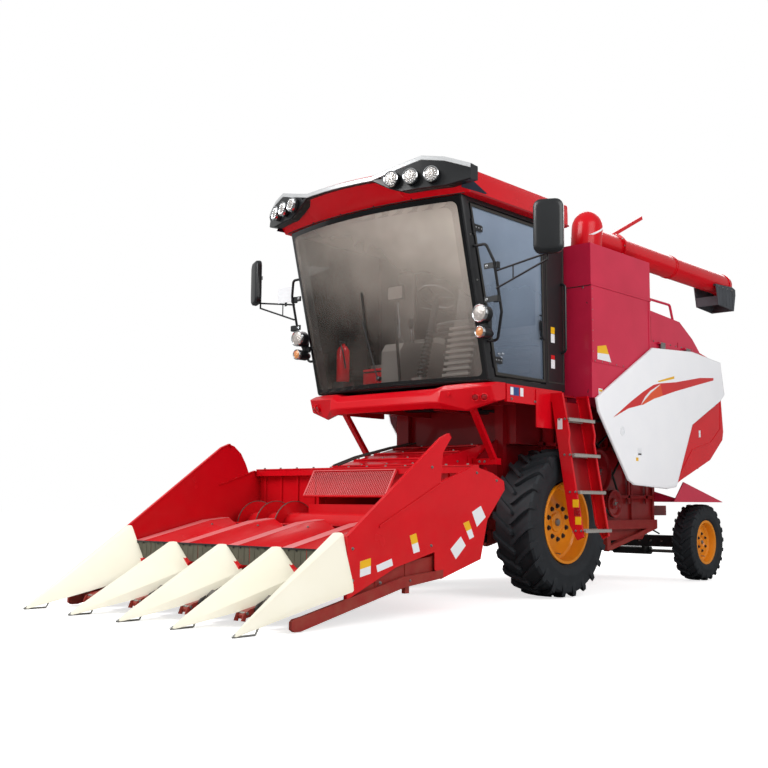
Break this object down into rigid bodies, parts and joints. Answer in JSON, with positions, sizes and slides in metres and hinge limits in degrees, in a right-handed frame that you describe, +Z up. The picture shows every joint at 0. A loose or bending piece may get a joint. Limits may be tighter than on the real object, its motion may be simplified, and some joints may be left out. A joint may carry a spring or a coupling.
{
  "type": "combine harvester with maize header",
  "caption": "Self-propelled wheeled combine harvester with a row-crop maize header, cab, grain tank and swinging unloading auger.",
  "frame": {"origin": "on the ground, on the centre line, half way between the divider tips and the end of the unloading auger", "axes": "+Z up, the machine faces -Y, its left side with ladder and door is +X"},
  "size_m": [4.0204, 8.244, 4.1675],
  "materials": {
    "body_red": "gloss red enamel",
    "panel_white": "gloss white enamel",
    "divider_cream": "satin cream moulding",
    "black_paint": "satin black",
    "black_plastic": "grained black",
    "window_glass": "tinted",
    "lamp_plastic": "clear lens over reflector",
    "tyre_rubber": "rubber with lugs",
    "rim_yellow": "gloss orange yellow",
    "grey_steel": "bare",
    "roll_iron": "worn",
    "rod_chrome": "polished",
    "spout_rubber": "dull dark grey",
    "seat_fabric": "woven dark cloth"
  },
  "bodies": {
    "chassis": {"main_frame": "body_red", "threshing_body": "body_red", "rear_hood": "body_red", "grain_tank": "body_red", "engine_hood": "body_red", "platform": "body_red", "apron": "body_red", "ladder": "body_red", "cab_roof": "body_red", "rear_wings": "body_red", "front_axle": "body_red", "cab_shell": "black_paint", "mirror_arms": "black_paint", "rear_axle": "black_paint", "steering_cylinder": "black_paint", "drive_pulleys": "black_paint", "engine": "black_paint", "visor": "black_plastic", "mirror_heads": "black_plastic", "fuel_tank": "black_plastic", "control_console": "black_plastic", "steering_column": "black_plastic", "windshield": "window_glass", "cab_side_glass": "window_glass", "work_lamps": "lamp_plastic", "headlamps": "lamp_plastic", "ladder_treads": "grey_steel", "exhaust_stack": "grey_steel", "seat": "seat_fabric"},
    "header": {"feeder_house": "body_red", "header_frame": "body_red", "header_side_sheets": "body_red", "header_screen": "body_red", "row_unit_frames": "body_red", "row_hoods": "body_red", "dividers": "divider_cream", "crop_flaps": "spout_rubber", "divider_skids": "grey_steel", "gathering_chains": "grey_steel", "stalk_rolls": "roll_iron"},
    "cross_auger": {"cross_auger": "body_red"},
    "lift_barrels": {"lift_barrels": "black_paint"},
    "lift_rods": {"lift_rods": "rod_chrome"},
    "unload_auger": {"auger_tube": "body_red", "auger_spout": "spout_rubber"},
    "cab_door": {"door_frame": "black_paint", "door_glass": "window_glass"},
    "side_panel_left": {"side_panel_left": "panel_white"},
    "side_panel_right": {"side_panel_right": "panel_white"},
    "wheel_front_left": {"front_tyre_left": "tyre_rubber", "front_rim_left": "rim_yellow"},
    "wheel_front_right": {"front_tyre_right": "tyre_rubber", "front_rim_right": "rim_yellow"},
    "wheel_rear_left": {"rear_tyre_left": "tyre_rubber", "rear_rim_left": "rim_yellow"},
    "wheel_rear_right": {"rear_tyre_right": "tyre_rubber", "rear_rim_right": "rim_yellow"},
    "knuckle_left": {"knuckle_left": "black_paint"},
    "knuckle_right": {"knuckle_right": "black_paint"},
    "tie_rod": {"tie_rod": "grey_steel"}
  },
  "joints": [
    {"name": "front_left_roll", "type": "hinge", "parent": "chassis", "child": "wheel_front_left", "pos_m": [1.03, 0.225, 0.715], "axis": [1, 0, 0], "continuous": true},
    {"name": "front_right_roll", "type": "hinge", "parent": "chassis", "child": "wheel_front_right", "pos_m": [-1.03, 0.225, 0.715], "axis": [1, 0, 0], "continuous": true},
    {"name": "steer_left", "type": "hinge", "parent": "chassis", "child": "knuckle_left", "pos_m": [0.78, 3.455, 0.45], "axis": [0, 0, 1], "range_deg": [-35, 35]},
    {"name": "steer_right", "type": "hinge", "parent": "chassis", "child": "knuckle_right", "pos_m": [-0.78, 3.455, 0.45], "axis": [0, 0, 1], "range_deg": [-35, 35]},
    {"name": "rear_left_roll", "type": "hinge", "parent": "knuckle_left", "child": "wheel_rear_left", "pos_m": [0.985, 3.455, 0.45], "axis": [1, 0, 0], "continuous": true},
    {"name": "rear_right_roll", "type": "hinge", "parent": "knuckle_right", "child": "wheel_rear_right", "pos_m": [-0.985, 3.455, 0.45], "axis": [1, 0, 0], "continuous": true},
    {"name": "tie_rod_slide", "type": "slide", "parent": "chassis", "child": "tie_rod", "axis": [1, 0, 0], "range_m": [-0.112, 0.112]},
    {"name": "header_lift", "type": "hinge", "parent": "chassis", "child": "header", "pos_m": [0, -0.275, 1.2], "axis": [-1, 0, 0], "range_deg": [0, 25]},
    {"name": "cross_auger_turn", "type": "hinge", "parent": "header", "child": "cross_auger", "pos_m": [0, -1.655, 0.7], "axis": [1, 0, 0], "continuous": true},
    {"name": "lift_barrel_tilt", "type": "hinge", "parent": "chassis", "child": "lift_barrels", "pos_m": [0, 0.075, 0.545], "axis": [-1, 0, 0], "range_deg": [0, 16.7]},
    {"name": "lift_rod_slide", "type": "slide", "parent": "lift_barrels", "child": "lift_rods", "axis": [0, -0.9992, -0.0409], "range_m": [0, 0.2672]},
    {"name": "unload_swing", "type": "hinge", "parent": "chassis", "child": "unload_auger", "pos_m": [1.1, 0.825, 3.645], "axis": [0, 0, -1], "range_deg": [0, 90]},
    {"name": "door_swing", "type": "hinge", "parent": "chassis", "child": "cab_door", "pos_m": [1.114, -0.84475, 2.2], "axis": [0, 0.2468, -0.9691], "range_deg": [0, 65]},
    {"name": "panel_left_swing", "type": "hinge", "parent": "chassis", "child": "side_panel_left", "pos_m": [1.366, 2.225, 2.64], "axis": [0, -1, 0], "range_deg": [0, 75]},
    {"name": "panel_right_swing", "type": "hinge", "parent": "chassis", "child": "side_panel_right", "pos_m": [-1.366, 2.225, 2.64], "axis": [0, 1, 0], "range_deg": [0, 75]}
  ],
  "couplings": [
    {"joint": "steer_right", "follows": "steer_left", "ratio": 1},
    {"joint": "tie_rod_slide", "follows": "steer_left", "m_per_rad": -0.178},
    {"joint": "lift_barrel_tilt", "follows": "header_lift", "ratio": 0.665},
    {"joint": "lift_rod_slide", "follows": "header_lift", "m_per_rad": 0.6119}
  ]
}
